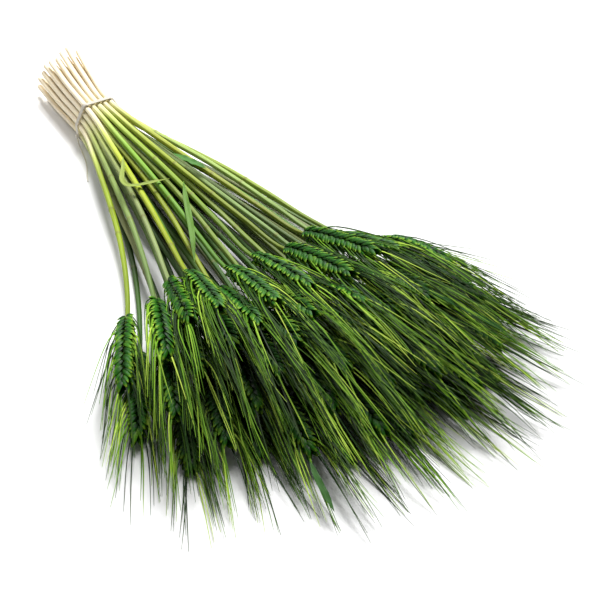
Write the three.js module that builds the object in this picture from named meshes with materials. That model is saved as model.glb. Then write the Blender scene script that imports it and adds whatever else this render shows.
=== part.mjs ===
// A tied bundle of dried bearded triticale, lying on its side on a flat surface.
// Units are millimetres and +Z is up. The ears point towards -Y and the cut butt ends towards +Y.
// The origin is on the surface, under the middle of the bundle's outline.
//
// Every stalk is one piece: a culm, its ear and the beard of awns beyond the ear. It is a lathe shape,
// widened where the ear is, and bent along the stalk's own line. The stalks lie in rows, one row on top
// of another. In the tie they are packed close, each row half a pitch from the next, and from there they
// open into a flat fan. Until the last step, places are counted from the middle of the tie, with s the
// distance from it towards the ears.

import * as THREE from 'three';
import { mergeVertices } from 'three/addons/utils/BufferGeometryUtils.js';

const { degToRad, lerp, smoothstep } = THREE.MathUtils;

// ---- Driving dimensions ----

// Rows from the lowest up: how many stalks, how far from the tie the middle stalks' ears start, and how
// much nearer to the tie they start at the fan's edges.
const ROWS = [
  { stalks: 7, reach: 366, edge: 60 },
  { stalks: 8, reach: 354, edge: 55 },
  { stalks: 7, reach: 338, edge: 62 },
  { stalks: 8, reach: 318, edge: 55 },
  { stalks: 7, reach: 298, edge: 46 },
  { stalks: 6, reach: 276, edge: 46 },
  { stalks: 5, reach: 254, edge: 6 },
];
const EDGE_PLACE = 3.5; // places from the middle of the fan to its edge
const REACH_SLANTS = 4; // from one place to the next, the ears start this much farther from the tie
const REACH_VARIES = 11; // a stalk's ear starts up to this much nearer or farther than its row's

const STALK_PITCH = 5.35; // between neighbours of one row, in the tie
const ROW_RISE = 4.8; // from one row of stems to the next, in the tie
const NECK_RISE = 3.9; // and where they are thinnest
const FAN_STEP = degToRad(4.2); // between neighbours of one row
const FAN_TURN = degToRad(0.5); // of the whole fan
const FAN_VARIES = degToRad(0.3);
const FAN_EASE = 14; // length over which the stems open out of the tie
const STEM_BOW = 5; // a stem bows up to this far sideways between the tie and its ear
const EARS_MIDDLE = 0.9; // the place where the ears run straight on from their stems
const EARS_OPEN = degToRad(8.5); // how far they turn outwards, an edge's distance from there
const EARS_WAVE = degToRad(2); // and from one to the next
const NECK_LENGTH = 130; // of the stem below the ear, which bends with it
const BUTT_OPENS = 0.3; // how far the butt ends open, as a share of the fan
const BUTT_TURN = degToRad(7); // they lean this much to one side
const BUTT_RISE = 0.7; // how much more a row rises there than the row below

const STEM_DIAMETER = 4.9; // at the butt end and in the tie
const NECK_DIAMETER = 3.4; // just below the ear
const TAPER_FROM = 110; // the stem starts to taper this far from the tie
const TAPER_TO = 290;
const SINK_FROM = 85; // from here a stalk with nothing under it sinks
const SINK_TO = 225;
const SINK_SHARE = 0.78; // the rest is what its neighbours still hold it up
const EAR_LENGTH = 78;
const EAR_WIDTH = 15.5;
const EAR_THICKNESS = 11;
const BEARD_LENGTH = 42; // beyond the ear's tip
const BEARD_MIDDLE_DIAMETER = 3.4;
const BEARD_TIP_DIAMETER = 1.6;
const BUTT_LENGTH = 92; // from the tie to the cut ends
const BUTT_VARIES = 12;

const EAR_STACK = 9.7; // height that a row of ears adds to the pile: the next row's ears lie between them
const BEARD_STACK = 5.2;

const TIE_WIDTH = 4.8;
const TIE_THICKNESS = 1.1;
const TIE_GAP = 0.35; // between the tie and whatever it touches
const TIE_REACH = 40; // the stems come back down to the surface this far from the tie

const THREAD_DIAMETER = 1.2;
const LEAF_THICKNESS = 0.8;

// The tie's loose end, from the tie down to the surface and along it. Its first point is on the tie's side.
const THREAD_ROUTE = [
  [-23.5, 0.0, 8.6], [-24.0, -2.6, 7.2], [-24.7, -6.2, 4.6], [-25.4, -10.6, 2.1], [-26.4, -16.4, 0.8],
  [-28.0, -23.6, 0.6], [-30.6, -32.4, 0.6], [-34.0, -41.2, 0.6], [-37.6, -49.2, 0.6], [-40.6, -57.0, 0.6],
];

// Loose leaf blades, which lie on the pile: width at the widest place, and where the midrib runs, seen
// from above.
const LEAVES = {
  leaf_folded: { width: 3.6, midrib: [
    [-20, -88], [-28, -104], [-35, -116], [-37, -125], [-31, -131], [-22, -133], [-12, -135], [-3, -137],
  ] },
  leaf_long: { width: 4.2, midrib: [
    [4, -144], [-4, -161], [-12, -180], [-20, -199], [-28, -216], [-36, -232],
  ] },
  leaf_short: { width: 5.4, midrib: [[15, -107], [19, -118], [23, -129], [27, -140]] },
  leaf_flag: { width: 4.2, midrib: [[58, -364], [71, -378], [84, -391], [97, -404], [109, -417]] },
  leaf_tapered: { width: 3.8, midrib: [[-66, -424], [-69, -437], [-71, -449], [-73, -461]] },
};
const LEAF_CLEARANCE = 1.8; // from the midrib down to the pile

// How finely the shapes are faceted.
const STALK_SIDES = 6;
const BUTT_STEPS = 2;
const STEM_STEPS = 7;
const TIE_STEPS = 40;
const LEAF_STEPS = 9;
const THREAD_STEPS = 24;
const THREAD_SIDES = 8;

// ---- Helpers ----

// A number from -1 to 1 that always comes out the same for the same seed.
function varied(seed) {
  const wave = Math.sin(seed * 12.9898) * 43758.5453;
  return 2 * (wave - Math.floor(wave)) - 1;
}

// A bar's half thickness across its flats, for its radius across the corners, and the other way round.
const FLATS = Math.cos(Math.PI / STALK_SIDES);

// A lathe shape with one ring for each station, bent so that its axis follows the line. A station has a
// distance s along the line, a radius, and how many times wider than thick the ring is.
function bentLathe(stations, line) {
  const outline = stations.map(({ s, radius }) => new THREE.Vector2(radius, s));
  outline.unshift(new THREE.Vector2(0, stations[0].s));
  outline.push(new THREE.Vector2(0, stations.at(-1).s));
  const geometry = new THREE.LatheGeometry(outline, STALK_SIDES, Math.PI / STALK_SIDES);
  const widening = new Map(stations.map(({ s, wide }) => [Math.fround(s), wide]));
  const position = geometry.getAttribute('position');
  const up = new THREE.Vector3(0, 0, 1);
  for (let i = 0; i < position.count; i += 1) {
    const s = position.getY(i);
    const along = line(s + 0.5).sub(line(s - 0.5)).normalize();
    const across = new THREE.Vector3().crossVectors(along, up).normalize();
    const above = new THREE.Vector3().crossVectors(across, along);
    const point = line(s)
      .addScaledVector(across, position.getX(i) * widening.get(s))
      .addScaledVector(above, position.getZ(i));
    position.setXYZ(i, point.x, point.y, point.z);
  }
  return welded(geometry);
}

function welded(geometry) {
  geometry.deleteAttribute('uv');
  geometry.deleteAttribute('normal');
  return mergeVertices(geometry, 1e-3);
}

function namedMesh(name, geometry, color, roughness) {
  const material = new THREE.MeshStandardMaterial({ color, roughness, metalness: 0 });
  const mesh = new THREE.Mesh(geometry, material);
  mesh.name = name;
  return mesh;
}

// ---- The pile ----

// The direction in which a place's stalks run, turned from the middle of the fan.
const fanAngle = (place) => FAN_STEP * place + FAN_TURN;

// Where the ears of a row start, at a place that is counted from the middle of the fan.
function earStart(row, place) {
  const { reach, edge } = ROWS[row];
  return reach - edge * (place / EDGE_PLACE) ** 2 + REACH_SLANTS * place;
}

// The height that one row adds to the pile. It grows before the ears start, to clear those that start
// early. Beyond the row's last stalk there is nothing of it, once the stems have opened far enough to
// sink past it.
function rowThickness(row, place, s) {
  const start = earStart(row, place);
  const end = start + EAR_LENGTH;
  const stem = lerp(ROW_RISE, NECK_RISE, smoothstep(s, TAPER_FROM, TAPER_TO));
  const ear = (EAR_STACK - stem) * smoothstep(s, start - 38, start + 2);
  const beard = (EAR_STACK - BEARD_STACK) * smoothstep(s, end - 14, end + 30);
  const lastPlace = (ROWS[row].stalks - 1) / 2;
  const isMissing = Math.abs(place) > lastPlace;
  return (stem + ear - beard) * (isMissing ? 1 - SINK_SHARE * smoothstep(s, SINK_FROM, SINK_TO) : 1);
}

// The height of a row's middle above the middle of a stalk that lies on the surface.
function rowHeight(row, place, s) {
  let height = 0;
  for (let below = 0; below < row; below += 1) height += rowThickness(below, place, s);
  return height;
}

// The surface is one tie's thickness lower than the stems in the tie, which bend down to it on both sides.
const heightOverTie = (s) => (TIE_THICKNESS + 2 * TIE_GAP) * (1 - smoothstep(Math.abs(s), 6, TIE_REACH));

// ---- Stalks ----

// Along the ear, from its base to its tip: how thick it is, as a share of its thickest place.
const EAR_SHAPE = [[0, 0.34], [0.12, 0.8], [0.4, 1], [0.78, 0.8], [1, 0.42]];

function stalkStations(start, buttLength) {
  const stemRadius = (s) => lerp(STEM_DIAMETER, NECK_DIAMETER, smoothstep(s, TAPER_FROM, TAPER_TO)) / 2;
  const stemAt = (s) => ({ s, radius: stemRadius(s), wide: 1 });
  const stations = [];
  for (let i = 0; i <= BUTT_STEPS; i += 1) {
    stations.push(stemAt(-buttLength * (1 - i / BUTT_STEPS)));
  }
  for (let i = 1; i <= STEM_STEPS; i += 1) {
    stations.push(stemAt((start - 3) * (i / STEM_STEPS) ** 1.3));
  }
  const earRadius = EAR_THICKNESS / 2 / FLATS;
  const earWide = EAR_WIDTH / 2 / earRadius;
  for (const [share, thick] of EAR_SHAPE) {
    stations.push({ s: start + share * EAR_LENGTH, radius: thick * earRadius, wide: share ? earWide : 1 });
  }
  const tip = start + EAR_LENGTH;
  stations.push({ s: tip + BEARD_LENGTH / 2, radius: BEARD_MIDDLE_DIAMETER / 2, wide: earWide });
  stations.push({ s: tip + BEARD_LENGTH, radius: BEARD_TIP_DIAMETER / 2, wide: 1 });
  return stations;
}

// A stalk's half thickness and half width at a distance s from the tie.
function stalkHalves(stations, s) {
  const after = stations.findIndex((station) => station.s >= s);
  const b = stations.at(after);
  const a = after < 1 ? b : stations[after - 1];
  const share = a === b ? 0 : (s - a.s) / (b.s - a.s);
  const radius = lerp(a.radius, b.radius, share);
  return { thick: FLATS * radius, wide: radius * lerp(a.wide, b.wide, share) };
}

function stalkLine({ row, place, start, angle, bow, sway, stations }) {
  const middle = (s) => stalkHalves(stations, s).thick;
  return (s) => {
    const slope = Math.tan(s < 0 ? BUTT_OPENS * fanAngle(place) + BUTT_TURN : angle);
    const opened = slope * (Math.hypot(s, FAN_EASE) - FAN_EASE);
    const bowed = bow * Math.sin(Math.PI * THREE.MathUtils.clamp(s / start, 0, 1)) ** 2;
    const bent = THREE.MathUtils.clamp(s - start + NECK_LENGTH, 0, NECK_LENGTH);
    const swayed = Math.tan(sway) * (bent ** 2 / (2 * NECK_LENGTH) + Math.max(0, s - start));
    const buttRise = s < 0 ? row * BUTT_RISE * smoothstep(-s, 0, BUTT_LENGTH) : 0;
    const height = middle(s) + heightOverTie(s) + buttRise + rowHeight(row, place, Math.max(s, 0));
    return new THREE.Vector3(STALK_PITCH * place + opened + bowed + swayed, -s * Math.cos(angle), height);
  };
}

function stalkPlan() {
  const stalks = [];
  ROWS.forEach(({ stalks: count }, row) => {
    for (let i = 0; i < count; i += 1) {
      const seed = stalks.length + 1;
      const place = i - (count - 1) / 2;
      const start = earStart(row, place) + REACH_VARIES * varied(seed);
      const angle = fanAngle(place) + FAN_VARIES * varied(seed + 100);
      const bow = STEM_BOW * varied(seed + 300);
      const outwards = (place - EARS_MIDDLE) / EDGE_PLACE;
      const wave = EARS_WAVE * Math.sin(0.6 * place + 0.4 * row + 0.5);
      const sway = EARS_OPEN * outwards * Math.abs(outwards) + wave;
      const stations = stalkStations(start, BUTT_LENGTH + BUTT_VARIES * varied(seed + 200));
      const stalk = { row, place, start, angle, bow, sway, stations };
      stalks.push({ ...stalk, line: stalkLine(stalk) });
    }
  });
  return stalks;
}

function buildStalk(stalk, number) {
  const name = `stalk_${String(number).padStart(2, '0')}`;
  return namedMesh(name, bentLathe(stalk.stations, stalk.line), 0x4f8a2c, 0.6);
}

// ---- Tie ----

// The point where a thread drawn tight round the stalks lies, on the side that faces the given direction.
function aroundStalks(stalks, direction) {
  const stems = stalks.map((stalk) => stalk.line(0));
  const outermost = stems.reduce((best, stem) => (stem.dot(direction) > best.dot(direction) ? stem : best));
  return outermost.clone().addScaledVector(direction, STEM_DIAMETER / 2 + TIE_GAP).setY(0);
}

// A flat band round the stalks: a lathe ring whose every section is moved out to where the stalks are.
function buildTie(stalks) {
  const inner = 1;
  const outer = inner + TIE_THICKNESS;
  const half = TIE_WIDTH / 2;
  const section = [[inner, -half], [outer, -half], [outer, half], [inner, half], [inner, -half]];
  const outline = section.map(([radius, y]) => new THREE.Vector2(radius, y));
  const geometry = new THREE.LatheGeometry(outline, TIE_STEPS);
  const position = geometry.getAttribute('position');
  for (let i = 0; i < position.count; i += 1) {
    const spoke = new THREE.Vector3(position.getX(i), 0, position.getZ(i));
    const beyond = spoke.length() - inner;
    const direction = spoke.normalize();
    const point = aroundStalks(stalks, direction).addScaledVector(direction, beyond);
    position.setXYZ(i, point.x, position.getY(i), point.z);
  }
  return namedMesh('tie', welded(geometry), 0xe9e4d6, 0.8);
}

function buildTieEnd() {
  const route = new THREE.CatmullRomCurve3(THREAD_ROUTE.map((point) => new THREE.Vector3(...point)));
  const section = new THREE.Shape();
  for (let i = 0; i < THREAD_SIDES; i += 1) {
    const turn = 2 * Math.PI * (i + 0.5) / THREAD_SIDES;
    const corner = [Math.cos(turn) * THREAD_DIAMETER / 2, Math.sin(turn) * THREAD_DIAMETER / 2];
    if (i === 0) section.moveTo(...corner);
    else section.lineTo(...corner);
  }
  section.closePath();
  const geometry = new THREE.ExtrudeGeometry(section, { steps: THREAD_STEPS, extrudePath: route });
  return namedMesh('tie_end', geometry, 0xe9e4d6, 0.8);
}

// ---- Leaves ----

// How high the pile is at a place seen from above, for something of the given width.
function pileTop(x, y, width) {
  const tops = stalks.map(({ angle, stations, line }) => {
    const s = -y / Math.cos(angle);
    const { thick, wide } = stalkHalves(stations, s);
    const isBeside = Math.abs(line(s).x - x) > wide + width / 2;
    return isBeside || s > stations.at(-1).s ? 0 : line(s).z + thick;
  });
  return Math.max(...tops);
}

// Heights in a row, raised where that is needed to bridge the hollows between the highest ones.
function bridged(heights) {
  return heights.map((_, k) => {
    let highest = heights[k];
    for (let i = 0; i < k; i += 1) {
      for (let j = k + 1; j < heights.length; j += 1) {
        highest = Math.max(highest, lerp(heights[i], heights[j], (k - i) / (j - i)));
      }
    }
    return highest;
  });
}

// A blade that is thickest at its midrib, widest in the middle and narrow at both ends.
function buildLeaf(name, { width, midrib }) {
  const plan = new THREE.CatmullRomCurve3(midrib.map(([x, y]) => new THREE.Vector3(x, y, 0)));
  const places = plan.getSpacedPoints(LEAF_STEPS);
  const tops = bridged(places.map(({ x, y }) => pileTop(x, y, 3 * width)));
  places.forEach((place, i) => place.setZ(tops[i] + LEAF_CLEARANCE));
  const curve = new THREE.CatmullRomCurve3(places);
  const length = curve.getLength();
  const line = (s) => curve.getPointAt(THREE.MathUtils.clamp(s / length, 0, 1));
  const stations = [];
  for (let i = 0; i <= LEAF_STEPS; i += 1) {
    const share = 0.01 + 0.98 * i / LEAF_STEPS;
    const fullness = 0.3 + 0.7 * Math.sin(Math.PI * share) ** 0.7;
    const radius = LEAF_THICKNESS / 2 / FLATS;
    stations.push({ s: share * length, radius, wide: fullness * width / 2 / radius });
  }
  return namedMesh(name, bentLathe(stations, line), 0x5c8f2f, 0.7);
}

// ---- Assembly ----

const part = new THREE.Group();
const bundle = new THREE.Group();
part.add(bundle);

const stalks = stalkPlan();
stalks.forEach((stalk, i) => bundle.add(buildStalk(stalk, i + 1)));
bundle.add(buildTie(stalks));
for (const [name, leaf] of Object.entries(LEAVES)) bundle.add(buildLeaf(name, leaf));

// The origin goes under the middle of the outline, which the thread's loose end is not part of.
const outline = new THREE.Box3().setFromObject(bundle);
const middle = outline.getCenter(new THREE.Vector3());
bundle.position.set(-middle.x, -middle.y, -outline.min.z);
bundle.add(buildTieEnd());

export default part;
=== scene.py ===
# %% [markdown]
# # A bundle of dried triticale
#
# The bundle is about fifty separate things: forty-eight stalks, the thread that ties them, and a few loose leaf
# blades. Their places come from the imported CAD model, where each stalk is one plain bent bar. Here every bar is
# replaced by a real-looking stalk: a ribbed hollow stem, an ear made of husks, and fine awns on most of the plump
# husks.
#
# The shapes are worked out with numpy as grids of points, because one formula then makes thousands of husks and
# awns at once, each a little different.

# %% Loading the frame
import math

import bpy
import numpy as np
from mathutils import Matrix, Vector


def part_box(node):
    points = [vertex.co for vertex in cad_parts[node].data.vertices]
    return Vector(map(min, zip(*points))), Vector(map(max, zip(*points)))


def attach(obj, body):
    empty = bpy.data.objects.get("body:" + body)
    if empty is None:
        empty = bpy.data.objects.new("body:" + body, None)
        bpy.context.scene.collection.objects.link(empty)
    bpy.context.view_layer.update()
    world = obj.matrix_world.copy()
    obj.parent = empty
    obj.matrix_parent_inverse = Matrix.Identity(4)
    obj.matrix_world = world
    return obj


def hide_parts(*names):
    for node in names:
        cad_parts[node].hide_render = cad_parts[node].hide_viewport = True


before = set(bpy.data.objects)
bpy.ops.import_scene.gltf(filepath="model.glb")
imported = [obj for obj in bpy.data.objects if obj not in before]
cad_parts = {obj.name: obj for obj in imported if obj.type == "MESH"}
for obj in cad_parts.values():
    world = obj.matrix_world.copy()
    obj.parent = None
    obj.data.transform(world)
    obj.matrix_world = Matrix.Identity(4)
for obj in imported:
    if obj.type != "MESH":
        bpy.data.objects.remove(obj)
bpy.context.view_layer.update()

MM = 0.001
tie_low, tie_high = (np.array(corner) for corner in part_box("tie"))
tie_middle = (tie_low + tie_high) / 2

# %% [markdown]
# ## Reading a bar's middle line
#
# A CAD bar is a row of rings of corners, with one more corner in the middle of each end face. The number of edges
# between a corner and the end's middle says which ring the corner is on, so the rings can be counted off without
# knowing which way the bar bends.

# %% Rings of a CAD bar
def bar_rings(node):
    """The corners of a bar's rings, from one end to the other: an array of rings x sides x 3.

    An end's middle corner is the only kind that lies exactly at the mean of its neighbours."""
    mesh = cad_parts[node].data
    loose = np.empty(3 * len(mesh.vertices), np.float32)
    mesh.vertices.foreach_get("co", loose)
    used = np.empty(len(mesh.loops), np.int32)
    mesh.loops.foreach_get("vertex_index", used)
    corners, same = np.unique(loose.reshape(-1, 3).round(5), axis=0, return_inverse=True)
    triangles = same.reshape(-1)[used].reshape(-1, 3)
    joined = np.zeros((len(corners), len(corners)), bool)
    joined[triangles, np.roll(triangles, 1, axis=1)] = True
    joined |= joined.T
    mean = joined @ corners / joined.sum(1, keepdims=True)
    edges_away = np.full(len(corners), -1)
    front = np.zeros(len(corners), bool)
    front[np.linalg.norm(corners - mean, axis=1).argmin()] = True
    while front.any():
        edges_away[front] = edges_away.max() + 1
        front = joined[front].any(0) & (edges_away < 0)
    return np.stack([corners[edges_away == ring] for ring in range(1, edges_away.max())])


stalk_names = sorted(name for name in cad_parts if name.startswith("stalk_"))
print("stalks:", len(stalk_names), "rings of the first:", bar_rings(stalk_names[0]).shape)

# %% A smooth line through points, and the directions along and around it
def unit(vectors):
    """Vectors divided by their own lengths."""
    return vectors / np.linalg.norm(vectors, axis=-1, keepdims=True)


def reach_of(points):
    """How far along a line of points each point is."""
    return np.r_[0, np.cumsum(np.linalg.norm(np.diff(points, axis=0), axis=1))]


def smooth_line(points, distances):
    """Points of a smooth curve through the given ones, at distances measured along them.

    Between two points the curve is a cubic that leaves and arrives in the direction of their neighbours."""
    reach = reach_of(points)
    slope = np.gradient(points, reach, axis=0)
    piece = np.clip(np.searchsorted(reach, distances, side="right") - 1, 0, len(points) - 2)
    span = (reach[piece + 1] - reach[piece])[:, None]
    x = (np.asarray(distances) - reach[piece])[:, None] / span
    start = (1 + 2 * x) * (1 - x) ** 2 * points[piece] + x * (1 - x) ** 2 * span * slope[piece]
    return start + x**2 * (3 - 2 * x) * points[piece + 1] + x**2 * (x - 1) * span * slope[piece + 1]


def directions(points, up=(0.0, 0.0, 1.0)):
    """At each point of a line: the direction along it, the level one across it, and the one square to both."""
    along = unit(np.gradient(points, axis=0))
    across = unit(np.cross(along, up))
    return along, across, np.cross(across, along)


# %% [markdown]
# ## The camera and the loose end of the thread
#
# The camera looks down at the bundle from the side of its left-hand ears. The thread's loose end is the one free
# cord: a limp thread that drops from the tie to the surface and lies there.

# %% Camera
AZIMUTH, ELEVATION, FIELD_OF_VIEW = math.radians(-33.5), math.radians(40), math.radians(30)
DISTANCE = 0.812
AIM_FROM_TIE = np.array([21.9, -281.2]) * MM  # the point of the surface that the camera looks at
aim = np.r_[tie_middle[:2] + AIM_FROM_TIE, 0.0]
towards_camera = np.array([
    math.sin(AZIMUTH) * math.cos(ELEVATION), -math.cos(AZIMUTH) * math.cos(ELEVATION), math.sin(ELEVATION),
])
camera = bpy.data.objects.new("camera", bpy.data.cameras.new("camera"))
bpy.context.scene.collection.objects.link(camera)
camera.location = aim + DISTANCE * towards_camera
camera.rotation_euler = (math.pi / 2 - ELEVATION, 0, AZIMUTH)
camera.data.angle = FIELD_OF_VIEW
bpy.context.scene.camera = camera
print("camera at", [round(x, 3) for x in camera.location])

# %% The thread's route, from the tie's side down to the surface
THREAD_ROUTE = np.array([
    [-23.5, 0.0, 8.6], [-24.0, -2.6, 7.2], [-24.7, -6.2, 4.6], [-25.4, -10.6, 2.1], [-26.4, -16.4, 0.8],
    [-28.0, -23.6, 0.6], [-30.6, -32.4, 0.6], [-34.0, -41.2, 0.6], [-37.6, -49.2, 0.6], [-40.6, -57.0, 0.6],
]) * MM + [tie_middle[0], tie_middle[1], 0]
THREAD_DIAMETER = 1.2 * MM
thread_path = smooth_line(THREAD_ROUTE, np.linspace(0, reach_of(THREAD_ROUTE)[-1], 56))
print("loose end:", round(reach_of(thread_path)[-1] / MM, 1), "mm long")

# %% [markdown]
# ## Sleeves
#
# Stems, husks, awns and threads are all the same kind of surface: rings of points, one after another, closed at
# both ends. A sleeve's faces depend only on how many rings and sides it has, so they are worked out once and used
# for any number of sleeves. Each sleeve also gets its own small rectangle of the bake map.

# %% Faces and map of one sleeve
def sleeve_faces(rings, sides):
    """Quads between neighbouring rings and triangles to a point at each end, with their corners' (u, v).

    u goes once round the sleeve and v along it. The two end points follow the rings' points."""
    ring, side = np.meshgrid(np.arange(rings - 1), np.arange(sides), indexing="ij")
    ring, side = ring.ravel(), side.ravel()
    next_side = (side + 1) % sides
    quads = np.stack([
        ring * sides + side, (ring + 1) * sides + side, (ring + 1) * sides + next_side, ring * sides + next_side,
    ], 1)
    u0, u1 = side / sides, (side + 1) / sides
    v0, v1 = (ring + 1) / (rings + 1), (ring + 2) / (rings + 1)
    quad_map = np.stack([
        np.stack([u0, v0], 1), np.stack([u0, v1], 1), np.stack([u1, v1], 1), np.stack([u1, v0], 1),
    ], 1)
    one = np.arange(sides)
    two = (one + 1) % sides
    last = (rings - 1) * sides
    first_end = np.stack([one, two, np.full(sides, rings * sides)], 1)
    last_end = np.stack([last + two, last + one, np.full(sides, rings * sides + 1)], 1)
    u0, u1, half = one / sides, (one + 1) / sides, (one + 0.5) / sides
    low, high = np.full(sides, 1 / (rings + 1)), np.full(sides, rings / (rings + 1))
    first_map = np.stack([np.stack([u0, low], 1), np.stack([u1, low], 1), np.stack([half, 0 * half], 1)], 1)
    last_map = np.stack([np.stack([u1, high], 1), np.stack([u0, high], 1), np.stack([half, 0 * half + 1], 1)], 1)
    return quads, quad_map, np.r_[first_end, last_end], np.r_[first_map, last_map]


def sleeves(rings, ends, cells, **values):
    """Any number of equal sleeves as one shape.

    rings is sleeves x rings x sides x 3, ends is sleeves x 2 x 3, and cells is sleeves x 4: each one's left, low,
    right and high edge on the bake map. A value is given as sleeves x rings x sides, or as something that
    stretches to it, and an end point takes the mean of its ring."""
    count, ring_count, sides = rings.shape[:3]
    quads, quad_map, triangles, triangle_map = sleeve_faces(ring_count, sides)
    each = ring_count * sides + 2
    shift = (np.arange(count) * each)[:, None, None]
    corner = cells[:, None, None, :2]
    size = cells[:, None, None, 2:] - corner
    points = np.concatenate([rings.reshape(count, -1, 3), ends], 1).reshape(-1, 3)
    attributes = {}
    for name, value in values.items():
        value = np.broadcast_to(value, rings.shape[:3])
        at_ends = value[:, [0, -1]].mean(2)
        attributes[name] = np.concatenate([value.reshape(count, -1), at_ends], 1).ravel()
    return {
        "points": points, "attributes": attributes,
        "quads": (quads + shift).reshape(-1, 4), "quad_map": (corner + size * quad_map).reshape(-1, 4, 2),
        "triangles": (triangles + shift).reshape(-1, 3),
        "triangle_map": (corner + size * triangle_map).reshape(-1, 3, 2),
    }


def map_cells(count, columns, box, gap=0.12):
    """Equal rectangles in rows inside a box (left, low, right, high) of the bake map, with gaps between them."""
    rows = -(-count // columns)
    row, column = np.divmod(np.arange(count), columns)
    left, low, right, high = box
    width, height = (right - left) / columns, (high - low) / rows
    return np.stack([
        left + (column + gap / 2) * width, low + (row + gap / 2) * height,
        left + (column + 1 - gap / 2) * width, low + (row + 1 - gap / 2) * height,
    ], 1)


# %% A finished piece from one or more shapes
def piece(name, shapes, finishes, slot, stands_for=(), sharp=60):
    """A named object whose shapes take one finish each. It rides on the body and shows instead of its CAD nodes.

    The faces are turned over if the volume that they enclose comes out negative."""
    offsets = np.cumsum([0] + [len(shape["points"]) for shape in shapes])
    points = np.concatenate([shape["points"] for shape in shapes])
    faces, corners, finish = [], [], []
    for number, shape in enumerate(shapes):
        for kind in ("quad", "triangle"):
            block = shape[kind + "s"] + offsets[number]
            fan = points[block]
            volume = np.einsum("ij,ij->", fan[:, 0], np.cross(fan[:, 1], fan[:, -1]))
            if kind == "quad":
                volume += np.einsum("ij,ij->", fan[:, 1], np.cross(fan[:, 2], fan[:, 3]))
                turned_over = volume < 0
            step = -1 if turned_over else 1
            faces += block[:, ::step].tolist()
            corners.append(shape[kind + "_map"][:, ::step].reshape(-1, 2))
            finish += [number] * len(block)
    mesh = bpy.data.meshes.new(name)
    mesh.from_pydata(points, [], faces)
    bake_map = mesh.uv_layers.new(name="OFBake")
    bake_map.data.foreach_set("uv", np.concatenate(corners).astype(np.float32).ravel())
    for label in sorted(set().union(*(shape["attributes"] for shape in shapes))):
        values = [shape["attributes"].get(label, np.zeros(len(shape["points"]))) for shape in shapes]
        layer = mesh.attributes.new(label, "FLOAT", "POINT")
        layer.data.foreach_set("value", np.concatenate(values).astype(np.float32))
    for material in finishes:
        mesh.materials.append(material)
    mesh.polygons.foreach_set("material_index", np.array(finish, np.int32))
    mesh.shade_smooth()
    mesh.set_sharp_from_angle(angle=math.radians(sharp))
    made = bpy.data.objects.new(name, mesh)
    bpy.context.scene.collection.objects.link(made)
    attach(made, "root")
    if stands_for:
        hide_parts(*stands_for)
    return made


# %% [markdown]
# ## Finishes
#
# The bunch has been dyed. The dye has not reached the cut ends, which are still the cream of dry straw, and it is
# strongest in the ears. Each stem took it a little differently, so the stem finish depends on how far from the tie
# a point is and on a tint of the stalk's own, and fine streaks run along the fibres.

# %% Colours from their usual hexadecimal names
def colour(code):
    """The linear red, green and blue of a colour such as "#7fb02f", and an alpha of 1."""
    channels = [int(code[i:i + 2], 16) / 255 for i in (1, 3, 5)]
    return [c / 12.92 if c <= 0.04045 else ((c + 0.055) / 1.055) ** 2.4 for c in channels] + [1.0]


# %% Shader maths as Python expressions
class Wire:
    """An output of a node in a material. Arithmetic with it adds Math nodes."""

    def __init__(self, tree, socket):
        self.tree, self.socket = tree, socket

    def node(self, kind, settings, inputs, output=0):
        """Adds a node: its settings first, then a value or a wire for each input, by name or number."""
        made = self.tree.nodes.new(kind)
        for name, value in settings.items():
            if name == "stops":
                band = made.color_ramp.elements
                while len(band) < len(value):
                    band.new(0.5)
                for stop, (place, shade) in zip(band, value):
                    stop.position, stop.color = place, shade
            else:
                setattr(made, name, value)
        for name, value in inputs.items():
            if isinstance(value, Wire):
                self.tree.links.new(value.socket, made.inputs[name])
            else:
                made.inputs[name].default_value = value
        return Wire(self.tree, made.outputs[output])

    def math(self, operation, one, two):
        return self.node("ShaderNodeMath", {"operation": operation}, {0: one, 1: two})

    def __add__(self, other):
        return self.math("ADD", self, other)

    def __sub__(self, other):
        return self.math("SUBTRACT", self, other)

    def __rsub__(self, other):
        return self.math("SUBTRACT", other, self)

    def __mul__(self, other):
        return self.math("MULTIPLY", self, other)

    __radd__, __rmul__ = __add__, __mul__

    def within(self, low, high):
        """0 below low, 1 above high, and a smooth step between."""
        return self.node("ShaderNodeMapRange", {"interpolation_type": "SMOOTHSTEP"},
                         {"Value": self, "From Min": low, "From Max": high})

    def ramp(self, *stops):
        """A colour ramp: stops are (place, colour code)."""
        return self.node("ShaderNodeValToRGB", {"stops": [(place, colour(code)) for place, code in stops]},
                         {0: self})

    def mixed(self, one, two):
        """Colour one where this is 0, and two where it is 1."""
        return self.node("ShaderNodeMix", {"data_type": "RGBA"}, {0: self, 6: one, 7: two}, 2)


class Finish:
    """A material with one Principled shader, and the few sources that its patterns start from."""

    def __init__(self, name, **constants):
        self.material = bpy.data.materials.new(name)
        self.material.use_nodes = True
        self.tree = self.material.node_tree
        self.shader = self.tree.nodes["Principled BSDF"]
        self.start = Wire(self.tree, None)
        for socket, value in constants.items():
            self.shader.inputs[socket.replace("_", " ")].default_value = value

    def attribute(self, name):
        return self.start.node("ShaderNodeAttribute", {"attribute_name": name}, {}, 2)

    def vector(self, x, y, z):
        return self.start.node("ShaderNodeCombineXYZ", {}, {0: x, 1: y, 2: z})

    def noise(self, vector, scale, detail=2.0):
        return self.start.node("ShaderNodeTexNoise", {}, {"Vector": vector, "Scale": scale, "Detail": detail})

    def bump(self, height, strength, distance):
        return self.start.node("ShaderNodeBump", {},
                               {"Strength": strength, "Distance": distance, "Height": height})

    def set(self, **wires):
        for socket, wire in wires.items():
            self.tree.links.new(wire.socket, self.shader.inputs[socket.replace("_", " ")])


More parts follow.
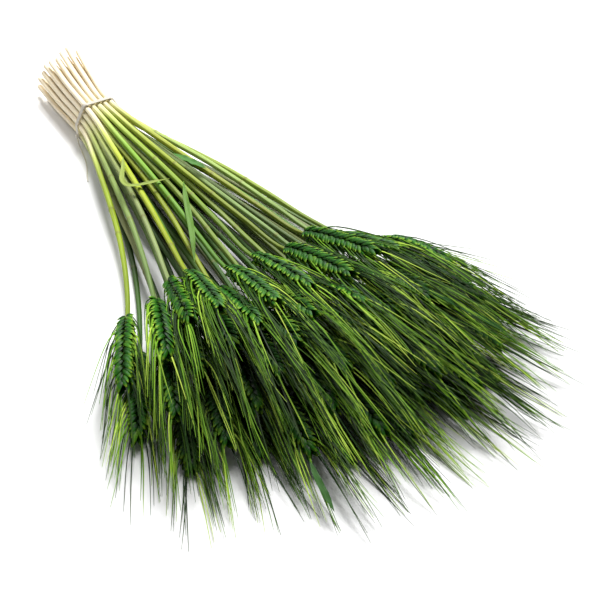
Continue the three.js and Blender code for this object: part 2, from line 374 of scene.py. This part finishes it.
# %% Stem finish: cream ends, then green, with streaks along the fibres
def stem_finish():
    finish = Finish("dyed_straw", IOR=1.35)
    past_tie, tint, rib, deep = (finish.attribute(name) for name in ("past_tie", "tint", "rib", "deep"))
    round_x, round_y, knee = (finish.attribute(name) for name in ("round_x", "round_y", "knee"))
    fibres = finish.vector(round_x + tint * 31.0, round_y, past_tie * 9.0)
    coarse = finish.noise(fibres, 1.6, 3.0)
    fine = finish.noise(finish.vector(round_x * 3.0, round_y * 3.0, past_tie * 22.0 + tint * 17.0), 2.6, 4.0)
    dyed = (past_tie + (coarse - 0.5) * 0.05 + (tint - 0.5) * 0.03) * 2.5 + 0.25
    along = dyed.ramp((0.0, "#f3e4c4"), (0.20, "#f4e7cc"), (0.27, "#efe6be"), (0.34, "#cdd878"),
                      (0.48, "#8fae2e"), (0.68, "#47700f"), (0.84, "#265208"), (1.0, "#183e06"))
    own = tint.ramp((0.0, "#84b01e"), (0.14, "#cfd414"), (0.28, "#a9c878"), (0.42, "#d8cf9c"), (0.56, "#4f9420"),
                    (0.7, "#b4b43a"), (0.84, "#78b83a"), (1.0, "#4a7c18"))
    is_dyed = dyed.within(0.28, 0.45)
    base = (is_dyed * (0.62 - 0.3 * dyed.within(0.55, 0.95))).mixed(along, own)
    dark = (fine.within(0.48, 0.72) * is_dyed * 0.5).mixed(base, colour("#36540f"))
    pale = (coarse.within(0.58, 0.8) * (0.42 - 0.3 * dyed.within(0.4, 0.8))).mixed(dark, colour("#dcd8a0"))
    shade = (fine.within(0.5, 0.78) * (1 - is_dyed) * 0.4).mixed(pale, colour("#cbb083"))
    ringed = (knee * 0.7).mixed(shade, colour("#7c7a35"))
    # Where other stalks lie over the stem, its dyed part is darkened: painted shade deep in the pile.
    finish.set(
        Base_Color=(deep * is_dyed * 0.75).mixed(ringed, colour("#1c2a06")),
        Roughness=fine * 0.25 + 0.42,
        Normal=finish.bump(fine * 0.6 + rib, 0.5, 0.25 * MM),
    )
    return finish.material


# %% Husk and awn finishes
def husk_finish():
    finish = Finish("dyed_husk", IOR=1.22)
    rise, shade, rib, deep = (finish.attribute(name) for name in ("rise", "shade", "rib", "deep"))
    grain = finish.noise(finish.vector(rib * 2.0, rise * 1.5, shade * 40.0), 2.2, 3.0)
    uneven_rise = rise + (grain - 0.5) * 0.5
    # A husk is painted near black at its foot, where it lies under its neighbours, which is painted shade, and
    # grows to lime at its tip.
    along = uneven_rise.ramp((0.0, "#000400"), (0.36, "#052803"), (0.7, "#266a0c"), (1.0, "#b2d63e"))
    own = shade.ramp((0.0, "#052604"), (0.35, "#144c08"), (0.7, "#347c10"), (1.0, "#86b824"))
    base = (shade * 0.3 + 0.1).mixed(along, own)
    grained = (grain.within(0.55, 0.8) * 0.4).mixed(base, colour("#7aad24"))
    ribs = finish.noise(finish.vector(rib * 9.0, rise * 0.8, shade * 11.0), 1.0, 1.0)
    # Where other stalks lie over the ear, the husks are darkened almost to black: painted shade deep in the pile.
    finish.set(
        Base_Color=(deep * 0.93).mixed(grained, colour("#010600")),
        Roughness=grain * 0.25 + 0.36,
        Normal=finish.bump(ribs, 0.6, 0.3 * MM),
    )
    return finish.material


def awn_finish():
    finish = Finish("dyed_awn", IOR=1.15)
    rise, shade, deep = (finish.attribute(name) for name in ("rise", "shade", "deep"))
    own = shade.ramp((0.0, "#031000"), (0.42, "#143a02"), (0.66, "#6c9e1c"), (1.0, "#c8e05c"))
    # Where other stalks lie over the awns, they are darkened almost to black: painted shade deep in the pile.
    finish.set(
        Base_Color=(deep * 0.93).mixed((rise * 0.2).mixed(own, colour("#5c8018")), colour("#020a00")),
        Roughness=shade * 0.2 + 0.45,
    )
    return finish.material


STEM, HUSK, AWN = stem_finish(), husk_finish(), awn_finish()
print("finishes:", STEM.name, HUSK.name, AWN.name)

# %% [markdown]
# ## Stems
#
# A cereal stem is a hollow tube with fine ridges and a few solid knees. The cut end shows the hollow, so the
# sleeve starts deep inside the tube, comes out along the inner wall, turns over the rim and goes on outside. It
# carries on through the ear, where it is the thin spine that the husks sit on.

# %% Keeping clear of the surface
CLEARANCE = 0.45 * MM  # of a point that would lie right on the surface


def lifted(points):
    """Points with those near or below the surface moved up, so that they lie just over it.

    The new height is (z + sqrt(z^2 + (2 c)^2)) / 2, where c is the clearance."""
    raised = points.copy()
    z = points[..., 2]
    raised[..., 2] = (z + np.sqrt(z**2 + (2 * CLEARANCE) ** 2)) / 2
    return raised


# %% One stem
STEM_SIDES = 14
STEM_SHARE = 0.95  # of the CAD ring's radius
SPINE_RADIUS = 0.7 * MM
HOLLOW_DEPTHS = np.array([14, 7, 0.3]) * MM  # rings on the inner wall, from the deepest
HOLLOW_SHARES = np.array([0.66, 0.68, 0.72])  # of the outer radius
KNEE_BULGE, KNEE_LENGTH = 0.13, 1.3 * MM
KNEE_RINGS = np.array([-3.5, -1.4, -0.5, 0.5, 1.4, 3.5]) * MM  # rings near a knee
EAR_RINGS = slice(-7, -2)  # the CAD rings of the ear, and after them the beard's two


def stem_shape(rings, seed, pile_shade_at):
    """A sleeve along the stalk's middle line.

    Its radius is a share of the CAD ring's, times 1 plus small waves around for the ridges, times 1 plus a bell
    curve at each knee. depth is a function of points, as the ear's is."""
    rng = np.random.default_rng(seed)
    centres = rings.mean(1)
    reach = reach_of(centres)
    cad_radius = np.linalg.norm(rings - centres[:, None], axis=2).max(1)
    neck, tip = reach[EAR_RINGS][0], reach[EAR_RINGS][-1]
    knees = np.array([rng.uniform(0.14, 0.24), rng.uniform(0.24, neck - 0.04)])
    cut_end = np.array([0, 1.2, 4]) * MM
    stem = np.linspace(10 * MM, neck, 40)
    spine = np.linspace(neck + 12 * MM, tip - 12 * MM, 5)
    outer = np.sort(np.r_[cut_end, stem, (knees[:, None] + KNEE_RINGS).ravel(), spine])
    distance = np.r_[HOLLOW_DEPTHS, outer]
    wall = np.r_[HOLLOW_SHARES, np.ones(len(outer))]
    before_ear = slice(None, EAR_RINGS.start)
    stem_radius = np.interp(distance, np.r_[reach[before_ear], tip],
                            np.r_[cad_radius[before_ear] * STEM_SHARE, SPINE_RADIUS])
    knee = np.exp(-((distance[:, None] - knees) / KNEE_LENGTH) ** 2).sum(1) * (wall == 1)
    angle = np.linspace(0, 2 * np.pi, STEM_SIDES, endpoint=False)
    phase = rng.uniform(0, 2 * np.pi, 3)
    ridges = 1 + 0.035 * np.cos(3 * angle + phase[0]) + 0.02 * np.cos(5 * angle + phase[1])
    radius = (stem_radius * wall * (1 + KNEE_BULGE * knee))[:, None] * ridges
    flatter = 1 - rng.uniform(0, 0.12)
    line = smooth_line(centres, distance)
    along, across, above = directions(smooth_line(centres, np.sort(distance)))
    order = np.argsort(np.argsort(distance, kind="stable"), kind="stable")
    along, across, above = along[order], across[order], above[order]
    slant = rng.uniform(-0.5, 0.5) * np.exp(-distance / (3 * MM))
    ring = (line[:, None] + across[:, None] * (radius * np.cos(angle))[..., None]
            + above[:, None] * (radius * flatter * np.sin(angle))[..., None]
            + along[:, None] * (radius * np.cos(angle + phase[2]) * slant[:, None])[..., None])
    past_tie = tie_middle[1] - ring[..., 1]
    ends = np.stack([line[0], line[-1] + along[-1] * 0.5 * MM])
    # The stem carries the painted shade of the pile along its middle line.
    return sleeves(
        lifted(ring)[None], ends[None], np.array([[0.01, 0.01, 0.99, 0.99]]),
        past_tie=past_tie[None], tint=rng.uniform(), round_x=np.cos(angle), round_y=np.sin(angle),
        rib=0.5 + 0.5 * np.cos(7 * angle), knee=knee[None, :, None], deep=pile_shade_at(line)[None, :, None],
    )


# %% [markdown]
# ## Ears and awns
#
# An ear has about two dozen spikelets, which sit left and right of the spine in turn. Each is a small fan of boat
# shaped husks: two thin outer ones at its foot, and three plump ones, about two in three of which end in a long
# awn. Seen from above, the husks make the herringbone of a cereal ear. All the husks of an ear are one array of
# sleeves, and all its awns another.

# %% Where the husks sit, and how each is turned
SPIKELETS = 26
HUSKS = np.array([
    # foot up, foot out, foot to the face, lean out, lean to the face, length, half width, half thickness, awns
    [0.0, 0.2, 2.1, 35, 9, 11.4, 2.3, 1.9, 0.8],
    [0.3, 0.2, -2.1, 35, -9, 11.4, 2.3, 1.9, 0.35],
    [2.4, 1.9, 0.0, 26, 0, 11.8, 2.2, 1.8, 0.7],
    [-0.8, 1.0, 2.9, 47, 12, 8.8, 1.8, 1.1, 0],
    [-0.5, 1.0, -2.9, 47, -12, 8.8, 1.8, 1.1, 0],
])
HUSK_SIDES, AWN_RINGS = 8, 9
TIP_BEND = 0.10  # how far a husk's tip bends back, as a share of its length
LAST_HUSK = 11 * MM  # from the foot of the topmost spikelet to the ear's end
LINE_POINTS, BEARD_START = 60, 42  # points along the ear and beard, and the one where the beard's direction starts
AWN_LENGTH, AWN_SHORTENS = 78 * MM, 22 * MM  # at the ear's foot, and how much less at its top


def husk_and_awn_shapes(rings, seed, pile_shade_at):
    """The husks of one ear, and their awns.

    A husk is round across and runs to a point at both ends: its radius at a share x of its length follows
    sin(pi x^0.7)^0.7. Its back bulges and its tip bends back towards the ear. An awn leaves the husk's tip in the
    husk's direction and soon turns to its own end direction. Its line is the end direction times x, plus the
    difference of the two directions times (1 - (1 - x)^6) / 7, plus a slight curve that grows with x^2."""
    rng = np.random.default_rng(seed)
    centres = rings.mean(1)[EAR_RINGS.start:]
    reach = reach_of(centres)
    length = reach[-3]
    last = LINE_POINTS - 1
    fine = smooth_line(centres, np.linspace(0, reach[-1], LINE_POINTS))
    along, across, above = directions(fine)
    roll = rng.uniform(-0.55, 0.55)
    across, above = (across * math.cos(roll) + above * math.sin(roll),
                     above * math.cos(roll) - across * math.sin(roll))

    spikelet = np.repeat(np.arange(SPIKELETS), len(HUSKS))
    up, out, face, lean_out, lean_face, long, wide, thick, awned = np.tile(HUSKS, (SPIKELETS, 1)).T
    side = np.where(spikelet % 2, 1.0, -1.0)
    share = spikelet / (SPIKELETS - 1)
    size = (0.72 + 0.3 * np.sin(np.pi * (0.12 + 0.7 * share))) * rng.uniform(0.92, 1.08, len(share))
    place = np.clip(share * (length - LAST_HUSK) + up * MM, 0, length)
    at = np.clip((place / reach[-1] * last).astype(int), 0, last)
    foot, A, W, T = (field[at] for field in (fine, along, across, above))
    foot = foot + A * (place - reach[-1] * at / last)[:, None]
    narrowing = np.where(share > 0.88, 0.55, 1.0)
    tilt_out = np.radians(lean_out * narrowing + rng.normal(0, 2.5, len(share)))
    tilt_face = np.radians(lean_face * narrowing + rng.normal(0, 2.5, len(share)))
    axis = unit(A + W * (side * np.tan(tilt_out))[:, None] + T * np.tan(tilt_face)[:, None])
    back = W * side[:, None] * 0.75 + T * np.sign(lean_face)[:, None]
    back = unit(back - axis * (back * axis).sum(1, keepdims=True))
    flat = np.cross(axis, back)
    foot = foot + (W * (side * out * size)[:, None] + T * (face * size)[:, None]) * MM

    x = np.array([0.06, 0.24, 0.46, 0.7, 0.9])
    bulk = np.sin(np.pi * x**0.7) ** 0.7
    angle = np.linspace(0, 2 * np.pi, HUSK_SIDES, endpoint=False)
    scale = (size * MM)[:, None, None]
    sideways = scale * wide[:, None, None] * bulk[:, None] * np.cos(angle)
    bulge = np.where(np.sin(angle) > 0, np.abs(np.sin(angle)) ** 0.8, 0.55 * np.sin(angle))
    outwards = scale * thick[:, None, None] * bulk[:, None] * bulge
    bend = -TIP_BEND * long[:, None, None] * scale * (x**2)[:, None]
    forward = scale * long[:, None, None] * x[:, None] * np.ones(HUSK_SIDES)
    ring = (foot[:, None, None] + flat[:, None, None] * sideways[..., None]
            + back[:, None, None] * (outwards + bend)[..., None] + axis[:, None, None] * forward[..., None])
    tip = foot + (axis - back * TIP_BEND) * (long * size * MM)[:, None]
    tip_direction = unit(axis - back * 0.2)
    shade = rng.beta(2, 2, len(share))
    # Each husk carries the painted shade of the pile at its foot, and each awn along its line.
    husks = sleeves(lifted(ring), lifted(np.stack([foot, tip], 1)), map_cells(len(share), 12, (0, 0.32, 1, 1)),
                    rise=x[:, None], shade=shade[:, None, None], rib=np.cos(angle),
                    deep=pile_shade_at(foot)[:, None, None])

    own = rng.uniform(size=len(share)) < awned
    count = own.sum()
    beard = unit(fine[-1] - fine[BEARD_START])
    outwards = W[own] * side[own, None] + 0.4 * T[own] * np.sign(lean_face[own])[:, None]
    spread = np.radians(rng.uniform(0, 9, SPIKELETS))[spikelet[own]]
    wander = rng.normal(0, 0.03, (SPIKELETS, 3))[spikelet[own]] + rng.normal(0, 0.012, (count, 3))
    end_direction = unit(0.4 * A[own] + 0.6 * beard + outwards * np.tan(spread)[:, None] + wander)
    long = (AWN_LENGTH - AWN_SHORTENS * share[own]) * rng.uniform(0.72, 1.05, count)
    x = np.linspace(0, 1, AWN_RINGS) ** 0.9
    turn = (1 - (1 - x) ** 6) / 7
    line = (tip[own][:, None] + long[:, None, None] * (
        end_direction[:, None] * x[:, None] + (tip_direction[own] - end_direction)[:, None] * turn[:, None]
        + rng.normal(0, 0.02, (SPIKELETS, 1, 3))[spikelet[own]] * (x**2)[:, None]))
    line[:, :, 2] -= rng.uniform(0, 5, (count, 1)) * MM * x**2
    thin = (0.38 * (1 - x) ** 0.8 + 0.13) * MM
    angle = np.linspace(0, 2 * np.pi, 3, endpoint=False) + 0.5
    level = unit(np.cross(end_direction, [0, 0, 1]))
    upward = np.cross(level, end_direction)
    ring = line[:, :, None] + thin[:, None, None] * (
        level[:, None, None] * np.cos(angle)[:, None] + upward[:, None, None] * np.sin(angle)[:, None])
    awn_ends = np.stack([line[:, 0] - tip_direction[own] * MM, line[:, -1] + end_direction * MM], 1)
    shade = 0.7 * rng.beta(0.9, 1.0, SPIKELETS)[spikelet[own]] + 0.3 * rng.uniform(size=count)
    awns = sleeves(lifted(ring), lifted(awn_ends), map_cells(count, count, (0, 0, 1, 0.31), 0.3),
                   rise=x[:, None], shade=shade[:, None, None], deep=pile_shade_at(line)[..., None])
    return husks, awns


# %% [markdown]
# ## How deep in the pile, for painted shade
#
# Shade is painted into the stalks where they lie deep in the bunch: the more stalks lie over a point, the darker
# its colour is made. How deep a point is depends on how many other stalks lie over it.

# %% Depth in the pile, for the painted shade
def from_butt(rings):
    """Rings in order from the cut end to the beard's tip."""
    return rings if rings[0, 0, 1] > rings[-1, 0, 1] else rings[::-1]


stalk_rings = [from_butt(bar_rings(name)) for name in stalk_names]
middle_lines = []
for rings in stalk_rings:
    centres = rings.mean(1)
    middle_lines.append(smooth_line(centres, np.linspace(0, reach_of(centres)[-1], 80)))


COVERS_WITHIN, COVERS_ABOVE = 8 * MM, 2 * MM
DARKEST_UNDER = 2.5  # stalks
FAR_AWAY = 9.0  # where a line is taken to be past its own tip


# The value is the amount of shade painted into a stalk's colour, deep in the pile.
def pile_shade_along(own):
    """A function of points on or near one stalk: 0 where no stalk lies over them, and 1 where three or more do.

    Another stalk lies over a point if it is over 2 mm higher and, seen from above, passes within 8 mm of it."""
    x, y, z = middle_lines[own].T
    over = np.zeros(len(x))
    for line in middle_lines:
        away = np.abs(np.interp(-y, -line[:, 1], line[:, 0], right=FAR_AWAY) - x)
        over += (away < COVERS_WITHIN) & (np.interp(-y, -line[:, 1], line[:, 2]) > z + COVERS_ABOVE)
    share = np.clip(over / DARKEST_UNDER, 0, 1)
    smooth = np.convolve(np.pad(share, 3, "edge"), np.ones(7) / 7, "valid")
    return lambda points: np.interp(-points[..., 1], -y, smooth)


# %% All stalks
STEM_SEED, EAR_SEED = 100, 300
triangles = 0
for number, (name, rings) in enumerate(zip(stalk_names, stalk_rings)):
    # How much shade is painted into this stalk, along its length.
    pile_shade_at = pile_shade_along(number)
    stem = piece(f"stem{name[5:]}", [stem_shape(rings, STEM_SEED + number, pile_shade_at)], [STEM], "stalk", [name])
    husks_and_awns = list(husk_and_awn_shapes(rings, EAR_SEED + number, pile_shade_at))
    ear = piece(f"ear{name[5:]}", husks_and_awns, [HUSK, AWN], "stalk", [name])
    triangles += sum(len(p.vertices) - 2 for o in (stem, ear) for p in o.data.polygons)
print("stalks made:", len(stalk_names), "with", triangles, "triangles")

# %% [markdown]
# ## Leaf blades
#
# A few blades are still in the bunch. A dried blade is thin and ribbed, folds a little along its midrib, and its
# edges are wavy. Each is a flat closed loop carried along the CAD blade's middle line.

# %% Leaf finish
def leaf_finish():
    finish = Finish("dyed_leaf", IOR=1.3)
    across, rise, tint = (finish.attribute(name) for name in ("across", "rise", "tint"))
    veins = finish.noise(finish.vector(across * 6.0, rise * 1.2, tint * 23.0), 2.0, 3.0)
    own = tint.ramp((0.0, "#b4b862"), (0.3, "#86a030"), (0.6, "#3f7a1c"), (1.0, "#0f3a0c"))
    finish.set(
        Base_Color=(veins.within(0.4, 0.75) * 0.5).mixed(own, colour("#3c6b25")),
        Roughness=veins * 0.3 + 0.4,
        Normal=finish.bump(veins, 0.6, 0.3 * MM),
    )
    return finish.material


LEAF = leaf_finish()

# %% Leaf shapes
LEAF_FOLD, LEAF_WAVES, LEAF_THICKNESS = 0.22, 0.14, 0.3 * MM
LEAF_TINTS = {"leaf_folded": 0.2, "leaf_long": 0.5, "leaf_short": 0.6, "leaf_flag": 0.95, "leaf_tapered": 0.85}


def leaf_shape(rings, tint, seed):
    """A blade: for u from -1 to 1 across, height is a share of the half width times |u| for the fold, plus waves
    at the edges. The top and the underside are furthest apart at the midrib, and 0.4 of that at the edges."""
    rng = np.random.default_rng(seed)
    centres = rings.mean(1)
    reach = reach_of(centres)
    share = np.linspace(0.01, 0.99, 40)
    line = smooth_line(centres, share * reach[-1])
    along, across, above = directions(line)
    half = np.interp(share * reach[-1], reach, np.linalg.norm(rings - centres[:, None], axis=2).max(1))
    half = half * np.clip(1.4 * np.sin(np.pi * share) ** 0.5, 0.15, 1.1)
    u = np.linspace(-1, 1, 9)
    u = np.r_[u, u[::-1]]
    top = np.r_[np.ones(9), -np.ones(9)]
    waves = LEAF_WAVES * np.sin(share[:, None] * 23 + np.sign(u) * 1.1 + rng.uniform(0, 6)) * u**2
    height = half[:, None] * (LEAF_FOLD * np.abs(u) + waves) + top * LEAF_THICKNESS / 2 * (1 - 0.6 * u**2)
    ring = line[:, None] + across[:, None] * (half[:, None] * u)[..., None] + above[:, None] * height[..., None]
    ends = line[[0, -1]] + along[[0, -1]] * np.array([[-1], [1]]) * MM
    return sleeves(ring[None], ends[None], np.array([[0.02, 0.02, 0.98, 0.98]]), across=u, tint=tint,
                   rise=share[:, None])


for number, (name, tint) in enumerate(LEAF_TINTS.items()):
    piece(name.replace("leaf", "blade"), [leaf_shape(bar_rings(name), tint, number)], [LEAF], "leaf", [name])
print("leaf blades made:", len(LEAF_TINTS))

# %% [markdown]
# ## The tie
#
# The tie is thin two-strand thread, wound round the bunch a few times and knotted. The turns follow the outline of
# the CAD tie, one beside the other, and the loose end leaves from the knot. A two-strand thread is a sleeve whose
# section has two lobes that turn along it.

# %% Thread finish
def thread_finish():
    finish = Finish("thread", IOR=1.45)
    lobe, rise = finish.attribute("lobe"), finish.attribute("rise")
    fibres = finish.noise(finish.vector(lobe * 2.0, rise * 300.0, 0.0), 3.0, 3.0)
    # The thread is painted darker in the grooves between its two strands and lighter on their crowns, which is
    # painted shade; the fibre noise is the thread's own uneven tone.
    finish.set(
        Base_Color=(lobe * 0.5 + fibres * 0.4).mixed(colour("#cbc3b2"), colour("#f3eee2")),
        Roughness=fibres * 0.2 + 0.7,
        Normal=finish.bump(fibres, 0.5, 0.2 * MM),
    )
    return finish.material


THREAD = thread_finish()


# %% Thread along any line
def thread_shape(line, radius, up, cell):
    """A sleeve of eight sides along a line, whose radius is 0.80 + 0.20 |cos(angle - twist)| of the given one."""
    along, across, above = directions(line, up)
    angle = np.linspace(0, 2 * np.pi, 8, endpoint=False)
    reach = reach_of(line)
    lobe = np.abs(np.cos(angle - (reach / (2.4 * MM) * np.pi)[:, None]))
    spread = radius * (0.8 + 0.2 * lobe)
    ring = (line[:, None] + across[:, None] * (spread * np.cos(angle))[..., None]
            + above[:, None] * (spread * np.sin(angle))[..., None])
    ends = line[[0, -1]] + along[[0, -1]] * np.array([[-0.4], [0.4]]) * radius
    return sleeves(ring[None], ends[None], np.array([cell]), lobe=lobe[None], rise=reach[None, :, None])


# %% The turns round the bunch, and the knot
TURNS, TURN_RADIUS, TURNS_WIDTH, KNOT_SIZE = 5, 0.5 * MM, 3.7 * MM, 0.42 * MM


def tie_turns():
    """The turns' line: at each angle, the point of the CAD tie that lies furthest out in that direction, less the
    thread's own radius. It moves steadily from one edge of the tie to the other."""
    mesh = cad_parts["tie"].data
    corners = np.empty(3 * len(mesh.vertices), np.float32)
    mesh.vertices.foreach_get("co", corners)
    corners = corners.reshape(-1, 3)
    angle = np.linspace(0, 2 * np.pi * TURNS, 130 * TURNS)
    outwards = np.stack([np.sin(angle), 0 * angle, np.cos(angle)], 1)
    step = np.linspace(0, 2 * np.pi, 41)
    normals = np.stack([np.sin(step), 0 * step, np.cos(step)], 1)
    outline = corners[(corners @ normals.T).argmax(0)]
    line = np.stack([np.interp(angle % (2 * np.pi), step, outline[:, axis]) for axis in range(3)], 1)
    line -= outwards * TURN_RADIUS * 1.1
    wobble = 0.16 * MM * np.sin(angle * 2.3 + 1) * np.sin(angle * 0.7)
    line[:, 1] = tie_middle[1] + (angle / angle[-1] - 0.5) * TURNS_WIDTH + wobble
    return line


turns_line = tie_turns()
loop = np.linspace(0.3, 2 * np.pi + 0.1, 60)
knot_line = THREAD_ROUTE[0] + [0.2 * MM, 0, 0.2 * MM] + KNOT_SIZE * np.stack([
    -np.sin(3 * loop), np.cos(loop) - 2 * np.cos(2 * loop), np.sin(loop) + 2 * np.sin(2 * loop),
], 1)
tie = piece("tie_thread", [
    thread_shape(turns_line, TURN_RADIUS, (0, 1, 0), (0.02, 0.02, 0.78, 0.98)),
    thread_shape(knot_line, TURN_RADIUS, (1, 0.1, 0.2), (0.82, 0.02, 0.98, 0.98)),
], [THREAD, THREAD], "thread", ["tie"])
loose_end = piece("tie_loose_end", [
    thread_shape(thread_path, THREAD_DIAMETER / 2, (0, 0, 1), (0.02, 0.02, 0.98, 0.98)),
], [THREAD], "thread", ["tie_end"])
print("thread round the bunch:", round(reach_of(turns_line)[-1] / MM), "mm")

# %% [markdown]
# ## Floor and light
#
# The bunch lies on a plain white surface. One large soft light stands high on the right and behind, so that the
# shadows fall softly to the left and the front. A weak one near the cut ends, on the left and behind, lights the
# tie. The surroundings are dim, so that the gaps between the awns stay dark.

# %% Floor
FLOOR_REACH = 4.0
floor_mesh = bpy.data.meshes.new("floor")
floor_mesh.from_pydata([(x * FLOOR_REACH, y * FLOOR_REACH, 0) for x, y in ((-1, -1), (1, -1), (1, 1), (-1, 1))],
                       [], [(0, 1, 2, 3)])
floor = bpy.data.objects.new("floor", floor_mesh)
bpy.context.scene.collection.objects.link(floor)
floor_finish = Finish("floor", Base_Color=(0.9, 0.9, 0.9, 1), Roughness=0.9, Specular_IOR_Level=0.1)
floor_mesh.materials.append(floor_finish.material)


# %% Light
def soft_light(name, target, azimuth, elevation, distance, size, watts):
    """A square area light that stands at those angles round a point on the floor and faces it."""
    light = bpy.data.lights.new(name, "AREA")
    light.size, light.energy = size, watts
    made = bpy.data.objects.new(name, light)
    bpy.context.scene.collection.objects.link(made)
    turn, rise = math.radians(azimuth), math.radians(elevation)
    made.location = np.array(target) + distance * np.array([
        math.sin(turn) * math.cos(rise), -math.cos(turn) * math.cos(rise), math.sin(rise),
    ])
    made.rotation_euler = (math.pi / 2 - rise, 0, turn)


soft_light("key", (0, 0, 0), 138, 49, 4.0, 1.7, 300)
soft_light("fill", (tie_middle[0], tie_middle[1], 0), 210, 50, 0.9, 0.7, 3)
world = bpy.data.worlds.new("studio")
world.use_nodes = True
world.node_tree.nodes["Background"].inputs["Color"].default_value = (1, 1, 1, 1)
world.node_tree.nodes["Background"].inputs["Strength"].default_value = 0.11
bpy.context.scene.world = world
bpy.context.scene.view_settings.view_transform = "Standard"
